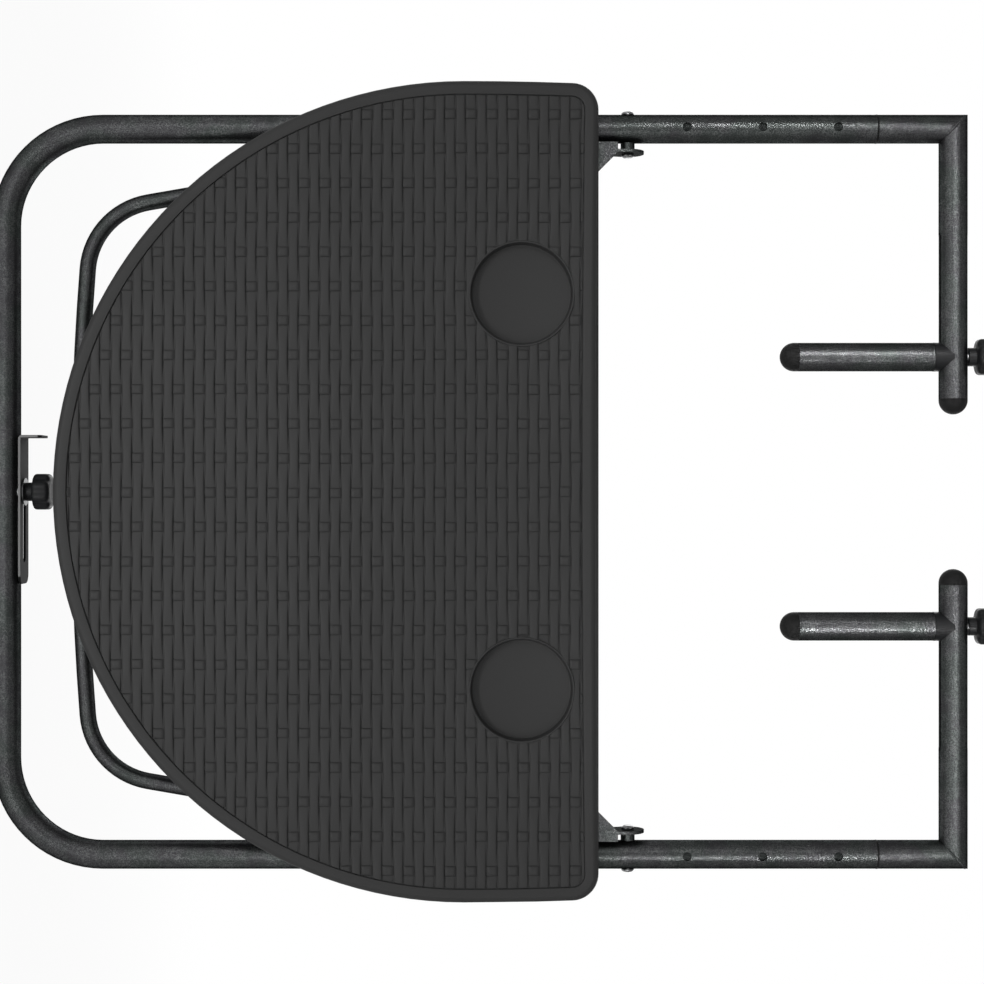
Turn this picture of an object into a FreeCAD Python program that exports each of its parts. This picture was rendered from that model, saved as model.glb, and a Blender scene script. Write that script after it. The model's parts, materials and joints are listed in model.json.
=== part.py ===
import FreeCAD, Part
import math
import os
from FreeCAD import Vector

# Balcony railing bar table, folded flat, in millimetres.
# +Z is up, +X runs along the railing and +Y points from the user to the railing.
# The origin is where the handrail meets the hooks: midway between them,
# at the underside of their cross arms.

# Fits and fasteners
fit_gap = 0.05
past = 1.0
near_zero = 0.01
dome_shoulder = 0.8
dome_rise = 0.7
dome_crown = 0.45

# Main tubes
tube_d = 22.8
tube_wall = 1.5
leg_inset = 32.3
bend_r = 77.2
frame_bottom_z = -744.4
leg_top_z = -49.4
post_gap = 0.1

# Height adjustment
inner_wall = 1.2
slide_clearance = 0.08
inner_top_z = -6.0
inner_foot_z = -230.0
adjust_hole_z = (-82.0, -142.0, -202.0)
adjust_hole_d = 7.0
guide_length = 10.0
guide_spigot = 14.0
guide_spigot_wall = 2.5
guide_chamfer = 1.0

# Snap button and its bent leaf
button_d = 6.6
button_play = 0.6
button_tip_gap = 0.1
leaf_width = 6.0
leaf_thickness = 0.6
leaf_x = 5.6
leaf_drop = 6.0
leaf_length = 34.0
leaf_knuckle_r = 0.9
leaf_knuckle_gap = 0.3
back_leaf_x = 7.3
button_dome = 1.2

# Hooks
cross_end_x = 74.2
hook_arm_x = 107.5
hook_arm_top_z = -4.6
hook_arm_end_z = -112.7
cross_cap_band = 1.1
arm_cap_band = 2.9
cap_spigot = 12.0
cap_spigot_wall = 2.0
slot_outer_x = 203.0
stud_d = 7.9
stud_waist = 1.0
slot_clearance = 0.25
saddle_d = 23.2
saddle_clearance = 0.1
saddle_horn_drop = 1.0
saddle_spigot = 12.0
insert_length = 19.0
arm_stud_foot_z = -30.0
stud_reach = 15.0

# Hand knobs
knob_seat_gap = 0.3
knob_neck_d = 14.8
knob_neck = 6.0
knob_head_d = 30.0
knob_head = 14.9
knob_bevel = 2.4
knob_end_d = 17.5
knob_lobes = 8
knob_flute_r = 7.0
knob_flute_depth = 1.5
knob_bore_clearance = 0.08
knob_bore_depth = 15.8

# Tabletop
top_half_width = 321.8
top_side_r = 2350.0
top_centre_z = -379.0
top_edge_z = -273.0
top_edge_bow = 2.3
top_corner_r = 21.0
top_front_y = -35.0
top_back_y = -13.0
top_edge_fillet = 5.0
rim_width = 11.0
field_depth = 2.0
skin = 2.6
skirt_wall = 3.0
rib_wall = 2.0
rib_pitch = 62.0
rib_back_y = -17.0
cup_x = 155.0
cup_z = -333.6
cup_d = 80.0
cup_depth = 9.0
cup_wall = 2.5
boss_d = 11.0
pilot_depth = 12.0

# Hinge brackets and pivots
hinge_z = -248.5
pin_d = 6.0
pin_clearance = 0.08
side_gap = 0.15
bracket_sheet = 2.5
ear_r = 13.0
ear_inset = 20.2
bracket_top_drop = 8.5
bracket_foot_drop = 90.0
bracket_reach = 24.3
bracket_bevel_x = 14.1
leg_side_gap = 0.7
collar_d = 11.2
bolt_head_d = 10.2
bolt_head = 2.5
bolt_head_edge = 0.8
nut_d = 10.2
nut_height = 3.2
nut_edge = 1.4
nut_grip = 2.2
screw_d = 4.8
screw_head_d = 9.0
screw_head = 2.6
screw_head_edge = 1.0
screw_point_gap = 1.0
bracket_screws_at = ((7.3, -41.0), (17.3, -61.0), (7.3, -80.0))

# Brace
brace_d = 13.0
brace_wall = 1.2
brace_pivot_drop = 121.5
brace_bottom_z = -686.5
brace_bow_r = 2295.0
brace_corner_r = 58.3
brace_lean_deg = 9.8
brace_knee_r = 60.0
brace_lean_in = 34.05
brace_lean_z = -630.0
brace_over = 9.0
bush_d = 8.0
end_plug_edge = 0.8
end_plug_dome = 2.0
end_plug_gap = 0.2

# Brace catches
catch_x = 120.0
catch_width = 18.0
catch_base = 3.0
catch_base_width = 56.0
catch_back_y = 10.5
catch_wall = 4.5
catch_lip = 9.0
catch_clearance = 0.7
catch_screw_x = 20.5

# Rail clamp on the bottom tube
rivet_flange_d = 17.0
rivet_flange = 0.8
rivet_barrel_d = 12.0
rivet_length = 14.0
plate_gap = 0.1
plate_thickness = 2.0
plate_width = 28.0
plate_leg_x = -45.0
plate_end_x = 73.4
plate_leg_height = 18.3
plate_corner_r = 8.0
plate_bend_r = 3.0
plate_travel = 50.0
washer_d = 22.0
washer_thickness = 1.0
tongue_length = 12.0
tongue_clearance = 0.2
clamp_stud_foot = 9.0

# Worked-out sizes
tube_r = tube_d / 2
bore_r = tube_r - tube_wall
inner_r = bore_r - slide_clearance
inner_bore_r = inner_r - inner_wall
cross_z = tube_r
stud_r = stud_d / 2
stud_waist_r = stud_r - stud_waist
pin_r = pin_d / 2
brace_r = brace_d / 2
leg_x = top_half_width - leg_inset
leg_inner_x = leg_x - tube_r
ear_inner_x = leg_x - ear_inset
ear_outer_x = ear_inner_x + bracket_sheet
bracket_inner_x = ear_inner_x - bracket_reach
brace_x = ear_outer_x - brace_r
brace_lean_x = brace_x - brace_lean_in
brace_pivot_z = hinge_z - brace_pivot_drop
crown_z = frame_bottom_z + tube_r
plate_z = crown_z + rivet_flange + plate_gap
button_z = adjust_hole_z[-1]
bend_foot_z = button_z + leaf_length
knuckle_z = bend_foot_z - leaf_knuckle_gap - leaf_knuckle_r
field_y = top_front_y + field_depth
skin_back_y = field_y + skin

# The brace seat: the bar lies level with the hinge axis when the top stands at 90 degrees.
seat_bar_z = brace_bottom_z + catch_x ** 2 / (2 * brace_bow_r)
brace_reach = brace_pivot_z - seat_bar_z
seat_distance = math.sqrt(brace_reach ** 2 - brace_pivot_drop ** 2)
brace_turn_deg = 90 + math.degrees(math.asin(brace_pivot_drop / brace_reach))
brace_ratio = brace_turn_deg / 90
seat_slope = seat_distance * (brace_ratio - 1) / (brace_pivot_drop * brace_ratio)
seat_z = hinge_z - seat_distance

X = Vector(1, 0, 0)
Y = Vector(0, 1, 0)
Z = Vector(0, 0, 1)
ORIGIN = Vector(0, 0, 0)
nodes = {}


def rod(radius, start, end):
    """A solid cylinder between two points."""
    run = end.sub(start)
    return Part.makeCylinder(radius, run.Length, start, run)


def pipe(radius, bore, start, end):
    """A straight tube between two points."""
    return rod(radius, start, end).cut(rod(bore, start, end))


def block(low, high):
    """A box between its lowest and highest corners."""
    size = high.sub(low)
    return Part.makeBox(size.x, size.y, size.z, low)


def mirrored(shape):
    """The same piece on the other side of the table."""
    return shape.mirror(ORIGIN, X)


def both_sides(name, shape):
    """One node for each side. The given shape is the right-hand one."""
    nodes[name + "_right"] = shape
    nodes[name + "_left"] = mirrored(shape)


def pair(shape):
    """One node that holds the right-hand piece and its mirror image."""
    return Part.makeCompound([shape, mirrored(shape)])


def swept(path, radius):
    """A round bar along a wire of lines and arcs."""
    edge = path.Edges[0]
    start = edge.valueAt(edge.FirstParameter)
    heading = edge.tangentAt(edge.FirstParameter)
    ring = Part.Wire(Part.makeCircle(radius, start, heading))
    return path.makePipeShell([ring], True, True)


def xz(x, z):
    return Vector(x, 0, z)


def revolved(profile, base, axis):
    """A solid of revolution from (radius, height) points on an axis that starts at base."""
    points = [Vector(radius, 0, height) for radius, height in profile]
    face = Part.Face(Part.makePolygon(points + [points[0]]))
    solid = face.revolve(ORIGIN, Z, 360)
    turn = FreeCAD.Rotation(Z, axis)
    solid.Placement = FreeCAD.Placement(base, turn)
    return solid


def domed(radius, side, dome):
    """The half outline of a button: a straight side under a low bevelled dome."""
    top = side + dome
    return [(0, 0), (radius, 0), (radius, side), (radius * dome_shoulder, side + dome * dome_rise),
            (radius * dome_crown, top), (0, top)]


# Frame

def frame_path():
    """The centre line of the U, from one leg's top to the other's."""
    corner_z = frame_bottom_z + bend_r
    bend_x = leg_x - bend_r
    diagonal = bend_r * math.sqrt(0.5)
    mid_x = bend_x + diagonal
    mid_z = corner_z - diagonal
    edges = [
        Part.LineSegment(xz(leg_x, leg_top_z), xz(leg_x, corner_z)).toShape(),
        Part.Arc(xz(leg_x, corner_z), xz(mid_x, mid_z), xz(bend_x, frame_bottom_z)).toShape(),
        Part.LineSegment(xz(bend_x, frame_bottom_z), xz(-bend_x, frame_bottom_z)).toShape(),
        Part.Arc(xz(-bend_x, frame_bottom_z), xz(-mid_x, mid_z), xz(-leg_x, corner_z)).toShape(),
        Part.LineSegment(xz(-leg_x, corner_z), xz(-leg_x, leg_top_z)).toShape(),
    ]
    return Part.Wire(edges)


def frame_tube():
    path = frame_path()
    shape = swept(path, tube_r).cut(swept(path, bore_r))
    for side in (1, -1):
        for z in adjust_hole_z:
            start = Vector(side * leg_x, -tube_r - past, z)
            shape = shape.cut(rod(adjust_hole_d / 2, start, Vector(side * leg_x, 0, z)))
        for z in (hinge_z, brace_pivot_z):
            start = xz(side * (leg_x - tube_r - past), z)
            end = xz(side * (leg_x + tube_r + past), z)
            shape = shape.cut(rod(pin_r + fit_gap, start, end))
    hole = rod(rivet_barrel_d / 2 + fit_gap, xz(0, frame_bottom_z), xz(0, crown_z + past))
    return shape.cut(hole)


# Pivots, the same for the tabletop and the brace

def pivot_bolt(z, nut_x):
    """A domed head outside the leg and a shank through to the nut."""
    head_x = leg_x + tube_r + fit_gap
    profile = domed(bolt_head_d / 2, bolt_head_edge, bolt_head - bolt_head_edge)
    head = revolved(profile, xz(head_x, z), X)
    shank = rod(pin_r, xz(nut_x - nut_grip, z), xz(head_x, z))
    return head.fuse(shank)


def pivot_nut(z, nut_x):
    """A low domed nut whose flat side is at nut_x."""
    profile = domed(nut_d / 2, nut_edge, nut_height - nut_edge)
    nut = revolved(profile, xz(nut_x, z), X.negative())
    return nut.cut(rod(pin_r + fit_gap, xz(nut_x - nut_grip - fit_gap, z), xz(nut_x + past, z)))


def pivot_collar(z):
    start = xz(ear_outer_x + side_gap, z)
    end = xz(leg_inner_x - fit_gap, z)
    return pipe(collar_d / 2, pin_r + fit_gap, start, end)


hinge_nut_x = ear_inner_x - side_gap
brace_nut_x = brace_x - brace_r - side_gap - fit_gap * 2


# Height adjustment

def inner_tube():
    shape = pipe(inner_r, inner_bore_r, xz(leg_x, inner_foot_z), xz(leg_x, inner_top_z))
    hole_r = button_d / 2 + button_play
    return shape.cut(rod(hole_r, xz(leg_x, button_z), xz(leg_x + tube_r, button_z)))


def guide_plug():
    """A nylon foot that slides in the leg and on whose spigot the inner tube turns."""
    shoulder_z = inner_foot_z - fit_gap
    foot = rod(inner_r, xz(leg_x, shoulder_z - guide_length), xz(leg_x, shoulder_z))
    foot = foot.makeChamfer(guide_chamfer, [foot.Edges[2]])
    spigot_r = inner_bore_r - slide_clearance
    spigot = rod(spigot_r, xz(leg_x, shoulder_z), xz(leg_x, shoulder_z + guide_spigot))
    relief = rod(spigot_r - guide_spigot_wall, xz(leg_x, shoulder_z - guide_length / 2),
                 xz(leg_x, shoulder_z + guide_spigot))
    return foot.fuse(spigot).cut(relief)


def snap_button():
    """The button on its own leaf, pressed in by the wall of the leg. The leaf turns on a knuckle."""
    near = leg_x + leaf_x
    leaf = block(Vector(near, -leaf_width / 2, button_z - leaf_drop),
                 Vector(near + leaf_thickness, leaf_width / 2, knuckle_z))
    knuckle_x = near + leaf_thickness / 2
    knuckle = rod(leaf_knuckle_r, Vector(knuckle_x, -leaf_width / 2, knuckle_z),
                  Vector(knuckle_x, leaf_width / 2, knuckle_z))
    length = bore_r - button_tip_gap - leaf_x - leaf_thickness
    profile = domed(button_d / 2, length - button_dome, button_dome)
    button = revolved(profile, xz(near + leaf_thickness, button_z), X)
    return leaf.fuse(knuckle).fuse(button)


def snap_spring():
    """The bend of the leaf spring and its back leaf, which bears on the far wall."""
    front = leaf_x + leaf_thickness
    back = back_leaf_x + leaf_thickness
    centre = leg_x + (front - back) / 2
    outer = (front + back) / 2
    ring = Part.makeCylinder(outer, leaf_width, Vector(centre, -leaf_width / 2, bend_foot_z), Y)
    ring = ring.cut(Part.makeCylinder(outer - leaf_thickness, leaf_width,
                                      Vector(centre, -leaf_width / 2, bend_foot_z), Y))
    ring = ring.common(block(Vector(centre - outer - past, -leaf_width, bend_foot_z),
                             Vector(centre + outer + past, leaf_width, bend_foot_z + outer + past)))
    leaf = block(Vector(leg_x - back, -leaf_width / 2, button_z - leaf_drop),
                 Vector(leg_x - back + leaf_thickness, leaf_width / 2, bend_foot_z))
    return ring.fuse(leaf)


# Hooks

def mitred_bar(radius):
    """The post and the cross arm, joined on a 45 degree mitre."""
    reach = 2 * tube_r
    post = rod(radius, xz(leg_x, leg_top_z + post_gap), xz(leg_x, cross_z + reach))
    arm = rod(radius, xz(cross_end_x, cross_z), xz(leg_x + reach, cross_z))
    corner = xz(leg_x, cross_z)
    size = 4 * leg_x
    below = Part.makePolygon([
        corner.add(xz(-size, -size)), corner.add(xz(size, size)),
        corner.add(xz(size, -size)), corner.add(xz(-size, -size))])
    below = Part.Face(below).extrude(Vector(0, size, 0))
    below.translate(Vector(0, -size / 2, 0))
    return post.common(below).fuse(arm.cut(below)).removeSplitter()


def arm_slot():
    """The slot through the cross arm, which sets how far the hook arm is from the post."""
    half = stud_r + slot_clearance
    low = -past
    height = tube_d + 2 * past
    ends = [Part.makeCylinder(half, height, xz(x, low)) for x in (hook_arm_x, slot_outer_x)]
    middle = block(Vector(hook_arm_x, -half, low), Vector(slot_outer_x, half, low + height))
    return ends[0].fuse(ends[1]).fuse(middle)


def hook_tube():
    return mitred_bar(tube_r).cut(mitred_bar(bore_r)).cut(arm_slot())


def domed_cap(band):
    """A rubber cap along +Z: a band and a dome, with a hollow spigot that goes into the tube."""
    spigot_r = bore_r - fit_gap
    dome = Part.makeSphere(tube_r, xz(0, band), Z, 0, 90, 360)
    cap = rod(tube_r, ORIGIN, xz(0, band)).fuse(dome)
    spigot = pipe(spigot_r, spigot_r - cap_spigot_wall, xz(0, -cap_spigot), ORIGIN)
    return cap.fuse(spigot).removeSplitter()


def placed(shape, base, axis):
    shape.Placement = FreeCAD.Placement(base, FreeCAD.Rotation(Z, axis))
    return shape


def hook_arm():
    return pipe(tube_r, bore_r, xz(hook_arm_x, hook_arm_end_z), xz(hook_arm_x, hook_arm_top_z))


def saddle():
    """A collar coped to the cross arm, with a spigot that plugs the hook arm."""
    horn_z = cross_z - saddle_horn_drop
    collar = rod(saddle_d / 2, xz(hook_arm_x, hook_arm_top_z), xz(hook_arm_x, horn_z))
    spigot_z = hook_arm_top_z - saddle_spigot
    spigot = rod(bore_r - fit_gap, xz(hook_arm_x, spigot_z), xz(hook_arm_x, hook_arm_top_z))
    cope = rod(tube_r + saddle_clearance, xz(hook_arm_x - tube_d, cross_z),
               xz(hook_arm_x + tube_d, cross_z))
    hole = rod(stud_r + fit_gap, xz(hook_arm_x, spigot_z), xz(hook_arm_x, cross_z))
    return collar.fuse(spigot).cut(cope).cut(hole)


def arm_insert():
    """The threaded plug pressed into the hook arm under the saddle."""
    top = hook_arm_top_z - saddle_spigot - fit_gap
    start = xz(hook_arm_x, top - insert_length)
    return pipe(bore_r - fit_gap, stud_r + fit_gap, start, xz(hook_arm_x, top))


def knob():
    """A fluted hand knob along +Z, with its neck at the origin and a blind bore."""
    neck_r = knob_neck_d / 2
    head_r = knob_head_d / 2
    end_r = knob_end_d / 2
    top = knob_neck + knob_head
    profile = [(0, 0), (neck_r, 0), (neck_r, knob_neck), (end_r, knob_neck),
               (head_r, knob_neck + knob_bevel), (head_r, top - knob_bevel), (end_r, top), (0, top)]
    shape = revolved(profile, ORIGIN, Z)
    flute_ring = head_r + knob_flute_r - knob_flute_depth
    for index in range(knob_lobes):
        turn = 2 * math.pi * index / knob_lobes
        centre = Vector(flute_ring * math.cos(turn), flute_ring * math.sin(turn), knob_neck)
        shape = shape.cut(Part.makeCylinder(knob_flute_r, knob_head, centre))
    return shape.cut(rod(stud_r + knob_bore_clearance, ORIGIN, xz(0, knob_bore_depth)))


knob_seat_z = tube_d + knob_seat_gap


# Tabletop

def top_outline(inset):
    """The D of the tabletop, drawn in by inset, as a face in the plane y = 0."""
    radius = top_half_width - inset
    side_r = top_side_r - inset
    edge_z = top_edge_z - inset

    def side_x(z):
        return math.sqrt(side_r ** 2 - (z - top_centre_z) ** 2) + top_half_width - top_side_r

    corner = xz(side_x(edge_z), edge_z)
    middle = (edge_z + top_centre_z) / 2
    edges = [
        Part.Arc(xz(radius, top_centre_z), xz(0, top_centre_z - radius),
                 xz(-radius, top_centre_z)).toShape(),
        Part.Arc(xz(-radius, top_centre_z), xz(-side_x(middle), middle),
                 xz(-corner.x, corner.z)).toShape(),
        Part.Arc(xz(-corner.x, corner.z), xz(0, edge_z - top_edge_bow), corner).toShape(),
        Part.Arc(corner, xz(side_x(middle), middle), xz(radius, top_centre_z)).toShape(),
    ]
    return Part.Face(Part.Wire(edges))


def top_plate(inset, front_y, back_y):
    """The tabletop's outline with its two corners rounded, as a plate between two depths."""
    face = top_outline(inset)
    face.translate(Vector(0, front_y, 0))
    plate = face.extrude(Vector(0, back_y - front_y, 0))
    corners = []
    for edge in plate.Edges:
        box = edge.BoundBox
        if box.YLength > (back_y - front_y) / 2 and box.ZMax > top_edge_z - inset - top_edge_bow:
            corners.append(edge)
    return plate.makeFillet(top_corner_r - inset, corners)


def screw_places():
    """The bosses on the right half: x and z of each screw in the tabletop."""
    bracket = [(ear_inner_x - inset, hinge_z + z) for inset, z in bracket_screws_at]
    catch = [(catch_x + side * catch_screw_x, seat_z) for side in (1, -1)]
    return bracket, catch


def top_ribs(cavity):
    """The grid of ribs under the skin, cut to the hollow of the tabletop."""
    ribs = []
    reach = top_half_width
    count = int(reach // rib_pitch)
    for index in range(-count, count + 1):
        x = index * rib_pitch
        ribs.append(block(Vector(x - rib_wall / 2, skin_back_y, top_centre_z - reach),
                          Vector(x + rib_wall / 2, rib_back_y, top_edge_z)))
    z = top_centre_z - count * rib_pitch
    while z < top_edge_z:
        ribs.append(block(Vector(-reach, skin_back_y, z - rib_wall / 2),
                          Vector(reach, rib_back_y, z + rib_wall / 2)))
        z += rib_pitch
    return ribs[0].multiFuse(ribs[1:]).common(cavity)


def top_blank():
    """The tabletop's outer form, with the edge of its upper face rounded over."""
    blank = top_plate(0, top_front_y, top_back_y)
    front_edges = [edge for edge in blank.Edges if edge.BoundBox.YMax < top_front_y + near_zero]
    return blank.makeFillet(top_edge_fillet, front_edges)


def top_band(front_y, back_y, low_z, high_z):
    """A box wider than the tabletop, between two depths and two heights."""
    reach = top_half_width + past
    return block(Vector(-reach, front_y, low_z), Vector(reach, back_y, high_z))


def top_rim():
    """The raised rim round the sunk field, in two lengths: the straight side and the round side."""
    rim = top_blank().cut(top_plate(rim_width, top_front_y, top_back_y))
    meeting_z = top_edge_z - top_edge_bow - rim_width
    foot_z = top_centre_z - top_half_width - past
    straight = rim.common(top_band(top_front_y, field_y, meeting_z, top_edge_z + past))
    round_side = rim.common(top_band(top_front_y, field_y, foot_z, meeting_z))
    return Part.makeCompound(straight.Solids + round_side.Solids)


def tabletop():
    """A moulded shell under the rim: field, two cup recesses, skirt, ribs and screw bosses."""
    cavity = top_plate(skirt_wall, skin_back_y, top_back_y)
    foot_z = top_centre_z - top_half_width - past
    above_field = top_band(top_front_y - past, field_y, foot_z, top_edge_z + past)
    shell = top_blank().cut(above_field).cut(cavity).fuse(top_ribs(cavity))
    bracket, catch = screw_places()
    floor_y = top_front_y + cup_depth
    for side in (1, -1):
        for x, z in bracket + catch:
            start = Vector(side * x, skin_back_y, z)
            end = Vector(side * x, top_back_y, z)
            shell = shell.fuse(rod(boss_d / 2, start, end))
            pilot = Vector(side * x, top_back_y - pilot_depth, z)
            shell = shell.cut(rod(screw_d / 2 + fit_gap, pilot, end))
        lip = Vector(side * cup_x, top_front_y, cup_z)
        base = Vector(side * cup_x, floor_y + cup_wall, cup_z)
        shell = shell.fuse(rod(cup_d / 2 + cup_wall, lip, base))
        mouth = Vector(side * cup_x, top_front_y - past, cup_z)
        shell = shell.cut(rod(cup_d / 2, mouth, Vector(side * cup_x, floor_y, cup_z)))
    return shell


# Hinge brackets

def hinge_bracket():
    """A cut sheet under the top with a welded web, whose rounded ear turns on the hinge bolt."""
    top_z = hinge_z - bracket_top_drop
    foot_z = hinge_z - bracket_foot_drop
    outer_x = leg_inner_x - leg_side_gap
    bevel = ear_inner_x - bracket_bevel_x
    sheet = Part.makePolygon([
        xz(outer_x, top_z), xz(ear_inner_x, top_z), xz(bevel, top_z - bracket_bevel_x),
        xz(bracket_inner_x, top_z - bracket_bevel_x - (bevel - bracket_inner_x)),
        xz(bracket_inner_x, foot_z), xz(outer_x, foot_z), xz(outer_x, top_z)])
    sheet = Part.Face(sheet).extrude(Vector(0, bracket_sheet, 0))
    sheet.translate(Vector(0, top_back_y, 0))
    tail = Vector(0, top_back_y + bracket_sheet, foot_z)
    drop = hinge_z - tail.z
    reach = math.hypot(tail.y, drop)
    turn = math.acos(ear_r / reach) + math.atan2(-tail.y, drop)
    touch = Vector(0, ear_r * math.sin(turn), hinge_z - ear_r * math.cos(turn))
    web = Part.makePolygon([
        Vector(0, -ear_r, hinge_z), Vector(0, 0, hinge_z), touch, tail,
        Vector(0, -ear_r, foot_z), Vector(0, -ear_r, hinge_z)])
    web = Part.Face(web).extrude(Vector(bracket_sheet, 0, 0))
    web.translate(Vector(ear_inner_x, 0, 0))
    ear = rod(ear_r, xz(ear_inner_x, hinge_z), xz(ear_outer_x, hinge_z))
    shape = sheet.fuse(web).fuse(ear)
    pin_hole = rod(pin_r + pin_clearance, xz(ear_inner_x - past, hinge_z),
                   xz(ear_outer_x + past, hinge_z))
    shape = shape.cut(pin_hole)
    for x, z in screw_places()[0]:
        start = Vector(x, top_back_y - past, z)
        end = Vector(x, top_back_y + bracket_sheet + past, z)
        shape = shape.cut(rod(screw_d / 2 + fit_gap, start, end))
    return shape.removeSplitter()


def screws(places, sheet):
    """Pan-head screws that hold a sheet of the given thickness to the bosses."""
    made = []
    for x, z in places:
        seat = Vector(x, top_back_y + sheet, z)
        profile = domed(screw_head_d / 2, screw_head_edge, screw_head - screw_head_edge)
        head = revolved(profile, seat, Y)
        shank = rod(screw_d / 2, Vector(x, top_back_y - pilot_depth + screw_point_gap, z), seat)
        made.append(head.fuse(shank))
    return pair(Part.makeCompound(made))


# Brace

def brace_path():
    """The centre line of the brace, from the right pivot end round to the left one."""
    lean = math.radians(brace_lean_deg)
    out = Vector(math.sin(lean), 0, math.cos(lean))
    knee_run = brace_knee_r * math.tan(lean / 2)
    knee_z = brace_lean_z + (brace_x - brace_lean_x) / math.tan(lean)
    knee = xz(brace_x, knee_z)
    knee_top = xz(brace_x, knee_z + knee_run)
    knee_foot = knee.sub(Vector(out).multiply(knee_run))
    knee_centre = xz(brace_x - brace_knee_r, knee_top.z)
    knee_mid = knee_centre.add(Vector(math.cos(lean / 2), 0, -math.sin(lean / 2)).multiply(brace_knee_r))
    bow_z = brace_bottom_z + brace_bow_r
    inward = Vector(-math.cos(lean), 0, math.sin(lean))
    # The corner's centre is one radius inside both the leaning leg and the bowed bar.
    anchor = xz(brace_lean_x, brace_lean_z).add(Vector(inward).multiply(brace_corner_r))
    reach = brace_bow_r - brace_corner_r
    to_bow = anchor.sub(xz(0, bow_z))
    along = to_bow.dot(out)
    run = -along - math.sqrt(along ** 2 - (to_bow.dot(to_bow) - reach ** 2))
    centre = anchor.add(Vector(out).multiply(run))
    leg_touch = centre.sub(Vector(inward).multiply(brace_corner_r))
    down = centre.sub(xz(0, bow_z)).normalize()
    bar_touch = centre.add(Vector(down).multiply(brace_corner_r))
    between = Vector(down).sub(inward).normalize()
    corner_mid = centre.add(between.multiply(brace_corner_r))
    top = xz(brace_x, brace_pivot_z + brace_over)

    def flip(point):
        return xz(-point.x, point.z)

    edges = [
        Part.LineSegment(top, knee_top).toShape(),
        Part.Arc(knee_top, knee_mid, knee_foot).toShape(),
        Part.LineSegment(knee_foot, leg_touch).toShape(),
        Part.Arc(leg_touch, corner_mid, bar_touch).toShape(),
        Part.Arc(bar_touch, xz(0, brace_bottom_z), flip(bar_touch)).toShape(),
        Part.Arc(flip(bar_touch), flip(corner_mid), flip(leg_touch)).toShape(),
        Part.LineSegment(flip(leg_touch), flip(knee_foot)).toShape(),
        Part.Arc(flip(knee_foot), flip(knee_mid), flip(knee_top)).toShape(),
        Part.LineSegment(flip(knee_top), flip(top)).toShape(),
    ]
    return Part.Wire(edges)


def brace_tube():
    path = brace_path()
    shape = swept(path, brace_r).cut(swept(path, brace_r - brace_wall))
    for side in (1, -1):
        start = xz(side * (brace_x - brace_d), brace_pivot_z)
        end = xz(side * (brace_x + brace_d), brace_pivot_z)
        shape = shape.cut(rod(bush_d / 2 + fit_gap, start, end))
    return shape


def brace_bush():
    start = xz(brace_x - brace_r - fit_gap, brace_pivot_z)
    end = xz(brace_x + brace_r + fit_gap, brace_pivot_z)
    return pipe(bush_d / 2, pin_r + pin_clearance, start, end)


def brace_end_plug():
    """A domed plastic plug in the open end of the brace."""
    end_z = brace_pivot_z + brace_over
    spigot_r = brace_r - brace_wall - fit_gap
    dome = revolved(domed(brace_r, end_plug_edge, end_plug_dome), xz(brace_x, end_z), Z)
    spigot_z = brace_pivot_z + bush_d / 2 + end_plug_gap
    return dome.fuse(rod(spigot_r, xz(brace_x, spigot_z), xz(brace_x, end_z)))


# Brace catches

def brace_catch():
    """A hooked seat under the top. Its throat lies along the path of the arriving bar."""
    low = seat_z - catch_lip
    high = seat_z + brace_r + catch_clearance + catch_wall
    body = block(Vector(catch_x - catch_width / 2, top_back_y, low),
                 Vector(catch_x + catch_width / 2, catch_back_y, high))
    base = block(Vector(catch_x - catch_base_width / 2, top_back_y, low),
                 Vector(catch_x + catch_base_width / 2, top_back_y + catch_base, high))
    half = brace_r + catch_clearance
    run = 3 * catch_lip
    start = Vector(catch_x - catch_width, 0, seat_z)
    seat = rod(half, start, start.add(Vector(2 * catch_width, 0, 0)))
    throat = block(Vector(catch_x - catch_width, -half, -run), Vector(catch_x + catch_width, half, 0))
    throat.rotate(ORIGIN, X, math.degrees(math.atan(seat_slope)))
    throat.translate(xz(0, seat_z))
    shape = body.fuse(base).cut(seat).cut(throat)
    for side in (1, -1):
        x = catch_x + side * catch_screw_x
        start = Vector(x, top_back_y - past, seat_z)
        end = Vector(x, top_back_y + catch_base + past, seat_z)
        shape = shape.cut(rod(screw_d / 2 + fit_gap, start, end))
    return shape


# Rail clamp

def rivet_nut():
    """A threaded insert set in the crown of the bottom tube."""
    top = xz(0, crown_z + rivet_flange)
    flange = rod(rivet_flange_d / 2, xz(0, crown_z + fit_gap), top)
    barrel = rod(rivet_barrel_d / 2, xz(0, crown_z - rivet_length), top)
    return flange.fuse(barrel).cut(rod(stud_r + fit_gap, xz(0, crown_z - rivet_length), top))


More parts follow.
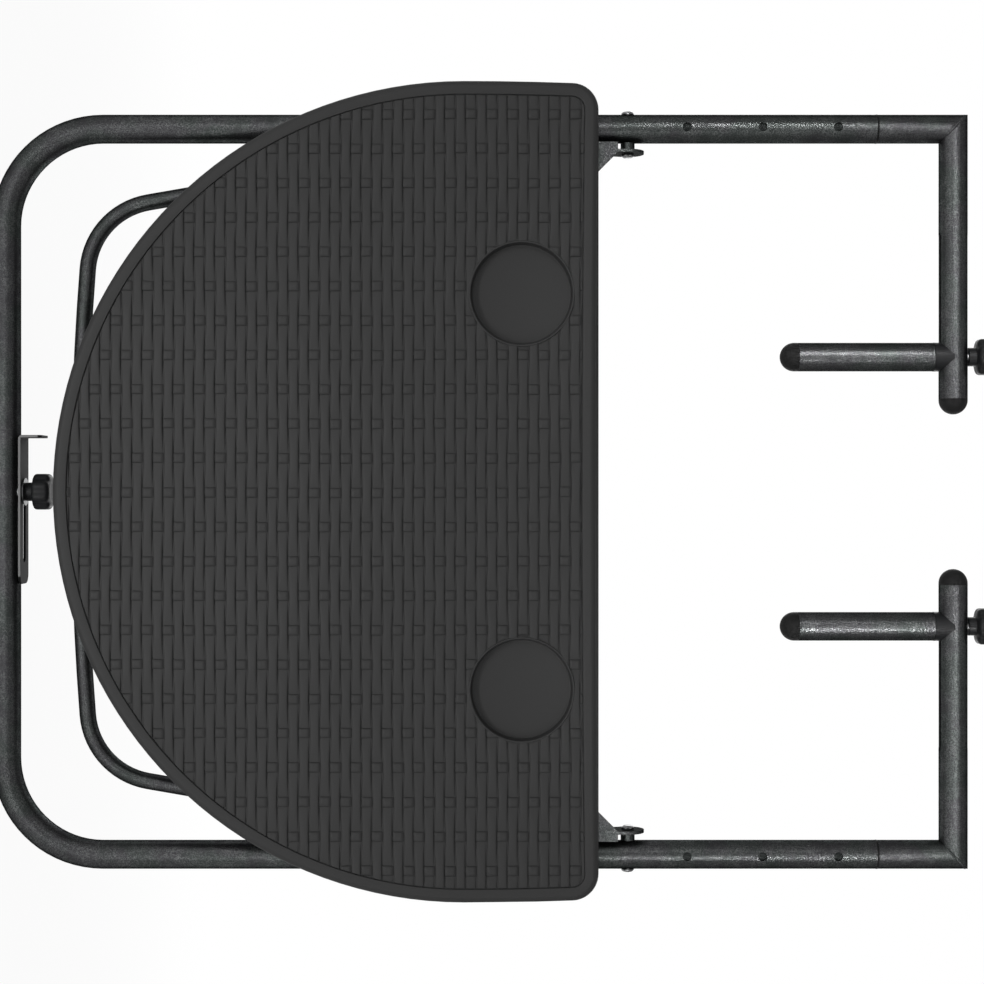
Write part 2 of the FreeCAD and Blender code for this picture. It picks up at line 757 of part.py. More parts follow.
def clamp_plate():
    """The bent strip: a long slotted foot and a short upright leg."""
    half = plate_width / 2
    foot = block(Vector(plate_leg_x, -half, plate_z), Vector(plate_end_x, half, plate_z + plate_thickness))
    ends = [edge for edge in foot.Edges
            if edge.BoundBox.ZLength > plate_thickness / 2 and edge.CenterOfMass.x > 0]
    foot = foot.makeFillet(plate_corner_r, ends)
    leg = block(Vector(plate_leg_x, -half, plate_z),
                Vector(plate_leg_x + plate_thickness, half, plate_z + plate_leg_height))
    tips = [edge for edge in leg.Edges
            if edge.BoundBox.XLength > plate_thickness / 2
            and edge.CenterOfMass.z > plate_z + plate_leg_height / 2]
    tips = [edge for edge in tips if abs(edge.CenterOfMass.y) > half / 2]
    leg = leg.makeFillet(plate_corner_r / 2, tips)
    shape = foot.fuse(leg).removeSplitter()
    bend = [edge for edge in shape.Edges
            if edge.BoundBox.YLength > half and abs(edge.CenterOfMass.x - plate_leg_x) < near_zero
            and abs(edge.CenterOfMass.z - plate_z) < near_zero]
    shape = shape.makeFillet(plate_bend_r, bend)
    slot_half = stud_r + slot_clearance
    slot_end = tongue_length / 2 + tongue_clearance - slot_half
    low = plate_z - past
    height = plate_thickness + 2 * past
    start = -slot_end
    end = plate_travel + slot_end
    slot = block(Vector(start, -slot_half, low), Vector(end, slot_half, low + height))
    for x in (start, end):
        slot = slot.fuse(Part.makeCylinder(slot_half, height, xz(x, low)))
    return shape.cut(slot)


washer_z = plate_z + plate_thickness + plate_gap
clamp_knob_z = washer_z + washer_thickness + plate_gap


def clamp_washer():
    """A washer whose tongue sits in the plate's slot, so that it turns with the plate."""
    top = washer_z + washer_thickness
    disc = rod(washer_d / 2, xz(0, washer_z), xz(0, top))
    half = stud_r + slot_clearance - tongue_clearance
    tongue_end = tongue_length / 2 - half
    low = plate_z + plate_gap
    tongue = block(Vector(-tongue_end, -half, low), Vector(tongue_end, half, washer_z))
    for x in (-tongue_end, tongue_end):
        tongue = tongue.fuse(rod(half, xz(x, low), xz(x, washer_z)))
    hole = rod(stud_waist_r + pin_clearance, xz(0, low - past), xz(0, top + past))
    return disc.fuse(tongue).cut(hole)


def clamp_stud():
    """The stud in the rivet nut, thinner where the keyed washer turns on it."""
    low = crown_z - clamp_stud_foot
    thread_top = crown_z + rivet_flange
    shape = rod(stud_r, xz(0, low), xz(0, thread_top))
    shape = shape.fuse(rod(stud_waist_r, xz(0, thread_top), xz(0, clamp_knob_z)))
    return shape.fuse(rod(stud_r, xz(0, clamp_knob_z), xz(0, clamp_knob_z + stud_reach)))


nodes["frame_tube"] = frame_tube()
nodes["hinge_bolts"] = pair(pivot_bolt(hinge_z, hinge_nut_x))
nodes["hinge_collars"] = pair(pivot_collar(hinge_z))
nodes["hinge_nuts"] = pair(pivot_nut(hinge_z, hinge_nut_x))
nodes["brace_bolts"] = pair(pivot_bolt(brace_pivot_z, brace_nut_x))
nodes["brace_collars"] = pair(pivot_collar(brace_pivot_z))
nodes["brace_nuts"] = pair(pivot_nut(brace_pivot_z, brace_nut_x))

both_sides("inner_tube", inner_tube())
both_sides("guide_plug", guide_plug())
both_sides("snap_button", snap_button())
both_sides("snap_spring", snap_spring())
both_sides("hook_tube", hook_tube())
both_sides("cross_cap", placed(domed_cap(cross_cap_band), xz(cross_end_x, cross_z), X.negative()))
both_sides("hook_arm", hook_arm())
both_sides("arm_cap", placed(domed_cap(arm_cap_band), xz(hook_arm_x, hook_arm_end_z), Z.negative()))
both_sides("saddle", saddle())
both_sides("arm_insert", arm_insert())
both_sides("arm_stud", rod(stud_r, xz(hook_arm_x, arm_stud_foot_z), xz(hook_arm_x, tube_d + stud_reach)))
both_sides("arm_knob", placed(knob(), xz(hook_arm_x, knob_seat_z), Z))

nodes["tabletop"] = tabletop()
nodes["tabletop_rim"] = top_rim()
both_sides("hinge_bracket", hinge_bracket())
nodes["bracket_screws"] = screws(screw_places()[0], bracket_sheet)
both_sides("brace_catch", brace_catch())
nodes["catch_screws"] = screws(screw_places()[1], catch_base)
nodes["brace_tube"] = brace_tube()
nodes["brace_bushes"] = pair(brace_bush())
nodes["brace_end_plugs"] = pair(brace_end_plug())

nodes["rivet_nut"] = rivet_nut()
nodes["clamp_stud"] = clamp_stud()
nodes["clamp_plate"] = clamp_plate()
nodes["clamp_washer"] = clamp_washer()
nodes["clamp_knob"] = placed(knob(), xz(0, clamp_knob_z), Z)

os.makedirs("parts", exist_ok=True)
for name, shape in nodes.items():
    shape.exportStep("parts/" + name + ".step")
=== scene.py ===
import json
import math

import bmesh
import bpy
from mathutils import Matrix, Vector


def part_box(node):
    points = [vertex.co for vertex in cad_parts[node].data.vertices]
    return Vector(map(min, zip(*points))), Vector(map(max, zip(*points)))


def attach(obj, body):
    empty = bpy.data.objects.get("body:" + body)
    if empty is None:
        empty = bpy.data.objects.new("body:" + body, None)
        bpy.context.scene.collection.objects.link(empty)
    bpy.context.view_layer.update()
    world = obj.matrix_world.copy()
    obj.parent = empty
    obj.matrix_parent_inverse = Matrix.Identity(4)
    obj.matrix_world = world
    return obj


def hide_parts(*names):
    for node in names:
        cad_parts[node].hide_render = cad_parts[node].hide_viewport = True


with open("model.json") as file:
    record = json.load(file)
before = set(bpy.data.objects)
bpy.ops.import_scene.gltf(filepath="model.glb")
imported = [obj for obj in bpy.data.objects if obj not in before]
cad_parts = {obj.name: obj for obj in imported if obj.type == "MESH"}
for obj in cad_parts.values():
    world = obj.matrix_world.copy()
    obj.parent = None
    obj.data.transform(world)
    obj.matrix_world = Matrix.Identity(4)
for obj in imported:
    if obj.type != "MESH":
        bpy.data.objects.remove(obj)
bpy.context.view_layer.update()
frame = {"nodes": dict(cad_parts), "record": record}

MM = 0.001
CREASE_DEG = 35.0
SIDES = {"left": -1, "right": 1}
scene = bpy.context.scene


# Sums on sockets are written as Python expressions. Every other node comes from Tree.add.

class Wire:
    """One output of a node. An expression on wires adds its Math nodes to the tree."""

    def __init__(self, tree, socket):
        self.tree = tree
        self.socket = socket

    def maths(self, operation, *values):
        return self.tree.add("ShaderNodeMath", {"operation": operation}, dict(enumerate(values)))

    def __add__(self, other):
        return self.maths("ADD", self, other)

    def __radd__(self, other):
        return self.maths("ADD", other, self)

    def __sub__(self, other):
        return self.maths("SUBTRACT", self, other)

    def __rsub__(self, other):
        return self.maths("SUBTRACT", other, self)

    def __mul__(self, other):
        return self.maths("MULTIPLY", self, other)

    def __rmul__(self, other):
        return self.maths("MULTIPLY", other, self)

    def __truediv__(self, other):
        return self.maths("DIVIDE", self, other)

    def rounded(self):
        return self.maths("ROUND", self)

    def cosine(self):
        return self.maths("COSINE", self)

    def size(self):
        return self.maths("ABSOLUTE", self)


class Tree:
    """A node tree and the one way to put nodes in it."""

    def __init__(self, tree):
        self.tree = tree

    def add(self, kind, settings=None, values=None, output=0):
        """A node: settings first, then the value, wire or list of wires of each socket."""
        node = self.tree.nodes.new(kind)
        for name, value in (settings or {}).items():
            setattr(node, name, value)
        for name, value in (values or {}).items():
            for item in value if isinstance(value, list) else [value]:
                if isinstance(item, Wire):
                    self.tree.links.new(item.socket, node.inputs[name])
                else:
                    node.inputs[name].default_value = item
        return Wire(self, node.outputs[output]) if len(node.outputs) else None

    def split(self, vector, axis):
        """One coordinate of a vector."""
        return self.add("ShaderNodeSeparateXYZ", None, {"Vector": vector}, axis)

    def joined(self, x=0.0, y=0.0, z=0.0):
        """A vector of three values."""
        return self.add("ShaderNodeCombineXYZ", None, {"X": x, "Y": y, "Z": z})

    def step(self, value, low, high, first=0.0, last=1.0):
        """A smooth step of a value between two limits."""
        return self.add("ShaderNodeMapRange", {"interpolation_type": "SMOOTHSTEP"}, {
            "Value": value, "From Min": low, "From Max": high, "To Min": first, "To Max": last},
            "Result")

    def ray_is(self, kind):
        """One for rays of a kind, such as Camera, and zero for all others."""
        return self.add("ShaderNodeLightPath", output="Is " + kind + " Ray")


class Finish(Tree):
    """A material. Its patterns are read from Object coordinates, and its sizes are metres."""

    def __init__(self, name):
        self.material = bpy.data.materials.new(name)
        self.material.use_nodes = True
        super().__init__(self.material.node_tree)
        self.tree.nodes.clear()
        self.place = self.add("ShaderNodeTexCoord", output="Object")

    def noise(self, grain, detail=2.0, roughness=0.5, place=None):
        """Noise whose features are about one grain across."""
        return self.add("ShaderNodeTexNoise", None, {
            "Vector": place or self.place, "Scale": 1 / grain, "Detail": detail,
            "Roughness": roughness}, "Fac")

    def cells(self, size):
        """The distance to the edges of cells of about the given size."""
        return self.add("ShaderNodeTexVoronoi", {"feature": "DISTANCE_TO_EDGE"}, {
            "Vector": self.place, "Scale": 1 / size}, "Distance")

    def chips(self, size):
        """One random value for each cell of about the given size."""
        colour = self.add("ShaderNodeTexVoronoi", None, {
            "Vector": self.place, "Scale": 1 / size}, "Color")
        return self.add("ShaderNodeSeparateColor", None, {"Color": colour}, "Red")

    def stretched(self, x, y, z):
        """The place with each coordinate scaled. A pattern is longer along a smaller scale."""
        return self.add("ShaderNodeMapping", None, {"Vector": self.place, "Scale": (x, y, z)})

    def mix(self, share, first, second):
        """A colour between two others."""
        return self.add("ShaderNodeMix", {"data_type": "RGBA"}, {0: share, 6: first, 7: second}, 2)

    def relief(self, height, depth, strength):
        """A bump of the given depth."""
        return self.add("ShaderNodeBump", None, {
            "Height": height, "Distance": depth, "Strength": strength}, "Normal")

    def ends_in(self, **sockets):
        """Ends the tree in one Principled shader. Underscores stand for spaces."""
        values = {name.replace("_", " "): value for name, value in sockets.items()}
        surface = self.add("ShaderNodeBsdfPrincipled", None, values, "BSDF")
        self.add("ShaderNodeOutputMaterial", None, {"Surface": surface})
        return self.material


def grey(value, green=0.0, blue=0.0):
    """A near-neutral colour in linear light. Green and blue are shares more than the red."""
    return (value, value * (1 + green), value * (1 + blue), 1.0)


def make_hammered_paint():
    """Dark hammered coat: small dimples that glint in the light, drifting from green to grey."""
    it = Finish("hammered_paint")
    dimple = it.noise(1.5 * MM, 2.0, 0.55)
    fine = it.noise(0.7 * MM, 2.0, 0.6)
    patch = it.noise(12 * MM)
    cloud = it.noise(30 * MM)
    vein = it.step((dimple - 0.5).size(), 0.0, 0.09, 1.0, 0.0)
    bright = vein * it.step(fine * 0.6 + patch * 0.4, 0.36, 0.64)
    tint = it.mix(it.step(cloud, 0.40, 0.60), grey(0.045, 0.12, 0.08), grey(0.050, -0.01, 0.05))
    colour = it.mix(bright, tint, grey(0.145, 0.04, 0.03))
    height = dimple + fine * 0.35
    return it.ends_in(
        Base_Color=colour, Roughness=0.34 - 0.08 * bright, Metallic=0.95,
        Normal=it.relief(height, 0.34 * MM, 0.6), Specular_Tint=(0.08, 0.09, 0.09, 1.0),
        Specular_IOR_Level=0.3)


def make_top_plastic():
    """Moulded charcoal plastic with a fine leather grain and faint flow marks."""
    it = Finish("top_plastic")
    grain = it.cells(0.6 * MM)
    flow = it.noise(60 * MM, 3.0)
    cloud = it.noise(7 * MM)
    colour = it.mix(flow * 0.6 + cloud * 0.4, grey(0.0215), grey(0.0260))
    return it.ends_in(
        Base_Color=colour, Roughness=0.54 + 0.08 * cloud, Normal=it.relief(grain, 0.04 * MM, 0.4),
        Specular_IOR_Level=0.25)


def make_black_plastic():
    """Black plastic of the knobs and saddles, satin with a spark-eroded grain."""
    it = Finish("black_plastic")
    grain = it.noise(0.4 * MM, 3.0, 0.6)
    cloud = it.noise(8 * MM)
    colour = it.mix(cloud, grey(0.004, 0.05, 0.16), grey(0.008, 0.05, 0.16))
    return it.ends_in(
        Base_Color=colour, Roughness=0.40 + 0.16 * grain, Normal=it.relief(grain, 0.05 * MM, 0.5),
        Specular_IOR_Level=0.20)


def make_black_rubber():
    """Matt black rubber of the caps and of the seam rings that paint shade in the leg mouths,
    slightly dusty.
    """
    it = Finish("black_rubber")
    grain = it.noise(0.5 * MM, 3.0, 0.6)
    cloud = it.noise(6 * MM)
    colour = it.mix(it.step(cloud, 0.35, 0.75), grey(0.0055), grey(0.0090))
    return it.ends_in(
        Base_Color=colour, Roughness=0.60 + 0.16 * grain, Normal=it.relief(grain, 0.06 * MM, 0.6),
        Specular_IOR_Level=0.14)


def make_bright_zinc():
    """Zinc-plated steel of bolts, nuts, screws and studs, with fine turning marks."""
    it = Finish("bright_zinc")
    streak = it.noise(0.5 * MM, 3.0, 0.6, it.stretched(1.0, 1.0, 0.15))
    cloud = it.noise(3 * MM)
    colour = it.mix(cloud, (0.16, 0.165, 0.18, 1.0), (0.30, 0.30, 0.29, 1.0))
    return it.ends_in(
        Base_Color=colour, Roughness=0.22 + 0.16 * streak, Metallic=1.0,
        Normal=it.relief(streak, 0.02 * MM, 0.4))


def make_plate_paint():
    """Black powder coat of the clamp plate, with orange peel and a highlight painted along its
    front edge.
    """
    it = Finish("plate_paint")
    peel = it.noise(0.9 * MM)
    cloud = it.noise(10 * MM)
    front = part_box("clamp_plate")[0][1]
    wavering = it.split(it.place, 1) + 0.2 * MM * cloud
    # A light grey band along the front edge is a painted highlight, where the edge catches the
    # light.
    painted_edge_highlight = it.step(wavering, front + 0.15 * MM, front + 0.45 * MM, 1.0, 0.0)
    colour = it.mix(painted_edge_highlight, it.mix(cloud, grey(0.005), grey(0.010)), grey(0.17))
    return it.ends_in(
        Base_Color=colour, Roughness=0.56 + 0.10 * cloud, Normal=it.relief(peel, 0.06 * MM, 0.5),
        Specular_IOR_Level=0.07)


def make_inner_steel():
    """Painted inner tube, button and springs: dull green-grey with drawing lines."""
    it = Finish("inner_steel")
    spangle = it.chips(3 * MM)
    lines = it.noise(0.6 * MM, 2.0, 0.5, it.stretched(1.0, 1.0, 0.04))
    colour = it.mix(spangle, grey(0.012, 0.16, 0.12), grey(0.026, 0.10, 0.08))
    return it.ends_in(
        Base_Color=colour, Roughness=0.42 + 0.18 * lines, Metallic=0.7,
        Normal=it.relief(lines, 0.02 * MM, 0.4), Specular_Tint=(0.3, 0.3, 0.3, 1.0))


def make_nylon():
    """Dark nylon of plugs and bushes, with a dry surface."""
    it = Finish("nylon")
    grain = it.noise(0.45 * MM, 3.0, 0.6)
    cloud = it.noise(9 * MM)
    colour = it.mix(cloud, grey(0.015), grey(0.026))
    return it.ends_in(
        Base_Color=colour, Roughness=0.5 + 0.2 * grain, Normal=it.relief(grain, 0.05 * MM, 0.5),
        Specular_IOR_Level=0.35)


finishes = {
    "hammered_paint": make_hammered_paint(),
    "top_plastic": make_top_plastic(),
    "black_plastic": make_black_plastic(),
    "black_rubber": make_black_rubber(),
    "bright_zinc": make_bright_zinc(),
    "plate_paint": make_plate_paint(),
    "inner_steel": make_inner_steel(),
    "nylon": make_nylon(),
}

slot_of = {part["node"]: part["material_slot"] for part in frame["record"]["subparts"]}
body_of = {node: body for body, nodes in frame["record"]["behaviour"]["bodies"].items()
           for node in nodes}
for name, node in frame["nodes"].items():
    node.data.materials.clear()
    node.data.materials.append(finishes[slot_of[name]])


# Pieces and geometry trees

def keep(name, mesh):
    """An object at the origin for a finished mesh."""
    piece = bpy.data.objects.new(name, mesh)
    scene.collection.objects.link(piece)
    return piece


def applied(piece):
    """The piece with its modifiers made part of its mesh."""
    view = bpy.context.evaluated_depsgraph_get()
    mesh = bpy.data.meshes.new_from_object(piece.evaluated_get(view))
    name = piece.name
    bpy.data.objects.remove(piece)
    return keep(name, mesh)


def settle(piece, body, slot):
    """Dresses a finished piece and makes it ride on its body."""
    piece.data.materials.clear()
    piece.data.materials.append(finishes[slot])
    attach(piece, body)


def stand_for(piece, node):
    """Puts a finished piece in the place of a CAD node, on its body and in its finish."""
    settle(piece, body_of[node], slot_of[node])
    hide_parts(node)


SOCKETS = {
    "float": "NodeSocketFloat", "int": "NodeSocketInt", "object": "NodeSocketObject",
    "material": "NodeSocketMaterial", "vector": "NodeSocketVector",
}


class Grower(Tree):
    """A geometry tree with named inputs. It ends in real geometry with its material set."""

    def __init__(self, name, **inputs):
        super().__init__(bpy.data.node_groups.new(name, "GeometryNodeTree"))
        face = self.tree.interface
        face.new_socket("Geometry", in_out="INPUT", socket_type="NodeSocketGeometry")
        face.new_socket("Geometry", in_out="OUTPUT", socket_type="NodeSocketGeometry")
        for title, kind in dict(inputs, Finish="material").items():
            face.new_socket(title.replace("_", " "), in_out="INPUT", socket_type=SOCKETS[kind])
        self.source = self.tree.nodes.new("NodeGroupInput")

    def given(self, title):
        """The value of an input."""
        return Wire(self, self.source.outputs[title])

    def form(self, title):
        """The mesh of an object input."""
        return self.add("GeometryNodeObjectInfo", None, {"Object": self.given(title)}, "Geometry")

    def both_sides(self, geometry):
        """The geometry and its mirror image in X, turned right side out."""
        mirrored = self.add("GeometryNodeTransform", None, {
            "Geometry": geometry, "Scale": (-1, 1, 1)})
        mirrored = self.add("GeometryNodeFlipFaces", None, {"Mesh": mirrored})
        return self.add("GeometryNodeJoinGeometry", None, {"Geometry": [geometry, mirrored]})

    def ends_in(self, geometry, crease_deg=CREASE_DEG):
        """Smooths all but the sharp edges, realizes instances and sets the material."""
        whole = self.add("GeometryNodeRealizeInstances", None, {"Geometry": geometry})
        whole = self.add("GeometryNodeSetShadeSmooth", {"domain": "FACE"}, {"Geometry": whole})
        angle = self.add("GeometryNodeInputMeshEdgeAngle")
        sharp = angle.maths("GREATER_THAN", angle, math.radians(crease_deg))
        whole = self.add("GeometryNodeSetShadeSmooth", {"domain": "EDGE"}, {
            "Geometry": whole, "Selection": sharp, "Shade Smooth": False})
        whole = self.add("GeometryNodeSetMaterial", None, {
            "Geometry": whole, "Material": self.given("Finish")})
        self.add("NodeGroupOutput", None, {"Geometry": whole})

    def grow(self, name, points=(), **values):
        """Runs the tree on the given points and keeps the result as a plain mesh piece."""
        mesh = bpy.data.meshes.new(name)
        mesh.from_pydata([tuple(point) for point in points], [], [])
        holder = keep(name, mesh)
        modifier = holder.modifiers.new(name, "NODES")
        modifier.node_group = self.tree
        sockets = {item.name: item.identifier for item in self.tree.interface.items_tree
                   if item.in_out == "INPUT"}
        for title, value in values.items():
            modifier[sockets[title.replace("_", " ")]] = value
        return applied(holder)


# Mesh helpers, with their lengths in millimetres

def soften(form):
    """Smooths the faces of a form and marks its edges over the crease angle as sharp."""
    for face in form.faces:
        face.smooth = True
    for edge in form.edges:
        edge.smooth = edge.calc_face_angle(0) < math.radians(CREASE_DEG)


def freed(name, form):
    """Ends a form as a mesh."""
    mesh = bpy.data.meshes.new(name)
    form.to_mesh(mesh)
    form.free()
    return mesh


def arc(centre, radius, start, end, count):
    """Points on an arc between two angles."""
    return [(centre[0] + radius * math.cos(start + (end - start) * step / count),
             centre[1] + radius * math.sin(start + (end - start) * step / count))
            for step in range(count + 1)]


def prism(name, low, high, place=Matrix.Identity(4)):
    """A closed prism between two loops of as many points."""
    form = bmesh.new()
    rings = [[form.verts.new([along * MM for along in point]) for point in loop]
             for loop in (low, high)]
    form.faces.new(reversed(rings[0]))
    form.faces.new(rings[1])
    for at in range(len(low)):
        form.faces.new((rings[0][at - 1], rings[0][at], rings[1][at], rings[1][at - 1]))
    bmesh.ops.recalc_face_normals(form, faces=form.faces)
    form.transform(place)
    return keep(name, freed(name, form))


def lathe(name, profile, steps, place, flutes=None):
    """Turns (radius, height) points round the Z axis. Radius 0 closes an end."""
    form = bmesh.new()
    rings = []
    for radius, height in profile:
        if radius == 0:
            rings.append([form.verts.new((0, 0, height * MM))])
            continue
        ring = []
        for step in range(steps):
            turn = 2 * math.pi * step / steps
            reach = radius - (flutes(turn, radius, height) if flutes else 0)
            ring.append(form.verts.new(
                (reach * MM * math.cos(turn), reach * MM * math.sin(turn), height * MM)))
        rings.append(ring)
    for below, above in zip(rings, rings[1:]):
        for step in range(steps):
            after = (step + 1) % steps
            corners = [below[step % len(below)], below[after % len(below)],
                       above[after % len(above)], above[step % len(above)]]
            unique = list(dict.fromkeys(corners))
            if len(unique) > 2:
                form.faces.new(unique)
    bmesh.ops.recalc_face_normals(form, faces=form.faces)
    form.transform(place)
    soften(form)
    return keep(name, freed(name, form))


def loft(name, loops):
    """A closed skin over closed loops of points, the last joined to the first."""
    form = bmesh.new()
    rings = [[form.verts.new(Vector(point) * MM) for point in loop] for loop in loops]
    for index, ring in enumerate(rings):
        before = rings[index - 1]
        for at in range(len(ring)):
            form.faces.new((before[at - 1], before[at], ring[at], ring[at - 1]))
    bmesh.ops.recalc_face_normals(form, faces=form.faces)
    soften(form)
    return keep(name, freed(name, form))


def skin_of(node, shape=None):
    """A merged copy of a CAD node's mesh, with its flat faces whole. Shape moves its corners."""
    form = bmesh.new()
    form.from_mesh(frame["nodes"][node].data)
    bmesh.ops.remove_doubles(form, verts=form.verts, dist=0.001 * MM)
    bmesh.ops.dissolve_limit(
        form, angle_limit=math.radians(1), verts=form.verts, edges=form.edges)
    if shape:
        for vert in form.verts:
            shape(vert)
    soften(form)
    return freed(node, form)


def facing(place, towards):
    """A matrix that puts local Z along a direction, at a place."""
    turn = Vector((0, 0, 1)).rotation_difference(Vector(towards)).to_matrix().to_4x4()
    return Matrix.Translation(Vector(place) * MM) @ turn


# Tabletop, in millimetres

TOP_CENTRE_Z = -379.0
TOP_HALF_WIDTH = 321.8
TOP_SIDE_R = 2350.0
TOP_EDGE_Z = -273.0
TOP_EDGE_BOW = 2.3
TOP_CORNER_R = 21.0
TOP_FRONT_Y = -35.0
FIELD_Y = -33.0
RIM_WIDTH = 11.0
CUP_X = 155.0
CUP_Z = -333.6
CUP_R = 40.0
CUP_FLOOR_Y = -26.0
CUP_STEPS = 128
SIDE_STEPS = 16
CORNER_STEPS = 10
EDGE_STEPS = 40
ROUND_STEPS = 150
CORNER_TRIES = 30


def top_outline(inset):
    """The D of the tabletop drawn in by inset, as a loop of (x, z) points."""
    side = (TOP_HALF_WIDTH - TOP_SIDE_R, TOP_CENTRE_Z)
    side_r = TOP_SIDE_R - inset
    edge_z = TOP_EDGE_Z - inset
    corner_r = TOP_CORNER_R - inset
    sharp_x = side[0] + math.sqrt(side_r ** 2 - (edge_z - TOP_CENTRE_Z) ** 2)
    bow_r = (sharp_x ** 2 + TOP_EDGE_BOW ** 2) / (2 * TOP_EDGE_BOW)
    bow_z = edge_z - TOP_EDGE_BOW + bow_r
    # The corner's centre is one corner radius from both the side's arc and the bowed edge.
    x, z = sharp_x - corner_r, edge_z - corner_r
    for _ in range(CORNER_TRIES):
        x = side[0] + math.sqrt((side_r - corner_r) ** 2 - (z - TOP_CENTRE_Z) ** 2)
        z = bow_z - math.sqrt((bow_r + corner_r) ** 2 - x ** 2)
    side_turn = math.atan2(z - side[1], x - side[0])
    edge_turn = math.atan2(bow_z - z, -x)
    right = arc(side, side_r, 0, side_turn, SIDE_STEPS)
    right += arc((x, z), corner_r, side_turn, edge_turn, CORNER_STEPS)[1:]
    end_x = right[-1][0]
    edge = []
    for step in range(1, EDGE_STEPS):
        at = end_x * (1 - 2 * step / EDGE_STEPS)
        edge.append((at, bow_z - math.sqrt(bow_r ** 2 - at ** 2)))
    left = [(-px, pz) for px, pz in reversed(right)]
    round_side = arc(
        (0, TOP_CENTRE_Z), TOP_HALF_WIDTH - inset, math.pi, 2 * math.pi, ROUND_STEPS)
    return right + edge + left + round_side[1:-1]


# Weave: strips run across the top, bars run from its straight edge to its round one.

STRIP_PITCH = 8.164
STRIP_FIRST_Z = -691.492
STRIP_ROWS = 51
STRIP_WIDTH = 7.1
BAR_PITCH = 26.9
BAR_FIRST_X = 323.4
BAR_ROWS = 25
BAR_WIDTH = 7.8
STRIP_WAVE_SHIFT = 0.6
WEAVE_FOOT_Y = -32.9
WEAVE_CUT_Y = (-20, -40)
WEAVE_GAP = 0.7
WEAVE_DRIFT = 2.2
WEAVE_SEED = 4.0
DRIFTS_PER_METRE = 14.0
WEAVE_CREASE_DEG = 50.0
CUP_LIP = 1.3
CUP_PLUG_HALF = 6

# Sections of the ridges, as shares of their width and height from one foot to the other
ROUND_TOP = [(-0.5, 0), (-0.5, 0.60), (-0.475, 0.82), (-0.40, 0.95), (-0.24, 1.0), (0.04, 0.97),
             (0.30, 0.88), (0.44, 0.74), (0.5, 0.5), (0.5, 0)]
CROWNED_TOP = [(-0.5, 0), (-0.5, 0.45), (-0.44, 0.70), (-0.30, 0.90), (0, 1.0), (0.30, 0.90),
               (0.44, 0.70), (0.5, 0.45), (0.5, 0)]


def section(name, width, points):
    """The closed cross-section of a ridge, one millimetre high until the weave swells it."""
    mesh = bpy.data.meshes.new(name)
    places = [(across * width * MM, -up * MM, 0) for across, up in points]
    mesh.from_pydata(places, [(at, (at + 1) % len(places)) for at in range(len(places))], [])
    return keep(name, mesh)


def woven_ridges(name, turn):
    """Rows of ridges that swell over and dip under the ridges that cross them."""
    it = Grower(name, Section="object", Outline="object", Cups="object", Start="float",
                End="float", Stations="int", Rows="int", Pitch="float", First="float",
                Wave_Pitch="float", Wave_First="float", Low="float", High="float",
                Steepness="float", Drift="float", Seed="float")
    run = it.add("GeometryNodeCurvePrimitiveLine", None, {
        "Start": it.joined(it.given("Start")), "End": it.joined(it.given("End"))})
    run = it.add("GeometryNodeResampleCurve", None, {"Curve": run, "Count": it.given("Stations")})
    profile = it.add("GeometryNodeMeshToCurve", None, {"Mesh": it.form("Section")})
    ridge = it.add("GeometryNodeCurveToMesh", None, {
        "Curve": run, "Profile Curve": profile, "Fill Caps": True})
    rows = it.add("GeometryNodeMeshLine", None, {
        "Count": it.given("Rows"), "Start Location": it.joined(y=it.given("First")),
        "Offset": it.joined(y=it.given("Pitch"))})
    ridges = it.add("GeometryNodeInstanceOnPoints", None, {"Points": rows, "Instance": ridge})
    ridges = it.add("GeometryNodeRealizeInstances", None, {"Geometry": ridges})
    place = it.add("GeometryNodeInputPosition")
    along, across, up = (it.split(place, axis) for axis in "XYZ")
    row = ((across - it.given("First")) / it.given("Pitch")).rounded()
    crossing = (along - it.given("Wave First")) / it.given("Wave Pitch")
    wave = ((crossing + row) * math.pi).cosine()
    swell = it.step(wave, it.given("Steepness") * -1.0, it.given("Steepness"),
                    it.given("Low"), it.given("High"))
    ridges = it.add("GeometryNodeSetPosition", None, {
        "Geometry": ridges, "Position": it.joined(along, across, up * swell / MM)})
    ridges = it.add("GeometryNodeTransform", None, {
        "Geometry": ridges, "Rotation": turn, "Translation": (0, WEAVE_FOOT_Y * MM, 0)})
    # The drift is one field of the finished place, so that strips and bars stay together.
    shift = it.add("ShaderNodeTexNoise", {"noise_dimensions": "4D"}, {
        "Vector": place, "W": it.given("Seed"), "Scale": DRIFTS_PER_METRE, "Detail": 1.0}, "Color")
    shift = it.add("ShaderNodeVectorMath", {"operation": "SUBTRACT"}, {
        0: shift, 1: (0.5, 0.5, 0.5)})
    shift = it.add("ShaderNodeVectorMath", {"operation": "MULTIPLY"}, {
        0: shift, 1: it.joined(it.given("Drift"), 0.0, it.given("Drift"))})
    ridges = it.add("GeometryNodeSetPosition", None, {"Geometry": ridges, "Offset": shift})
    ridges = it.add("GeometryNodeMeshBoolean", {"operation": "INTERSECT", "solver": "MANIFOLD"}, {
        "Mesh 2": [ridges, it.form("Outline")]})
    ridges = it.add("GeometryNodeMeshBoolean", {"operation": "DIFFERENCE", "solver": "MANIFOLD"}, {
        "Mesh 1": ridges, "Mesh 2": [it.form("Cups")]})
    it.ends_in(ridges, WEAVE_CREASE_DEG)
    return it


def cup_plugs(radius):
    """The two round places in the weave that the cups take."""
    sides = [(0, -CUP_PLUG_HALF), (radius, -CUP_PLUG_HALF),
             (radius, CUP_PLUG_HALF), (0, CUP_PLUG_HALF)]
    form = bmesh.new()
    for side in SIDES.values():
        place = facing((side * CUP_X, FIELD_Y, CUP_Z), (0, -1, 0))
        plug = lathe("cup_plug", sides, CUP_STEPS, place)
        form.from_mesh(plug.data)
        bpy.data.objects.remove(plug)
    return keep("cup_plugs", freed("cup_plugs", form))


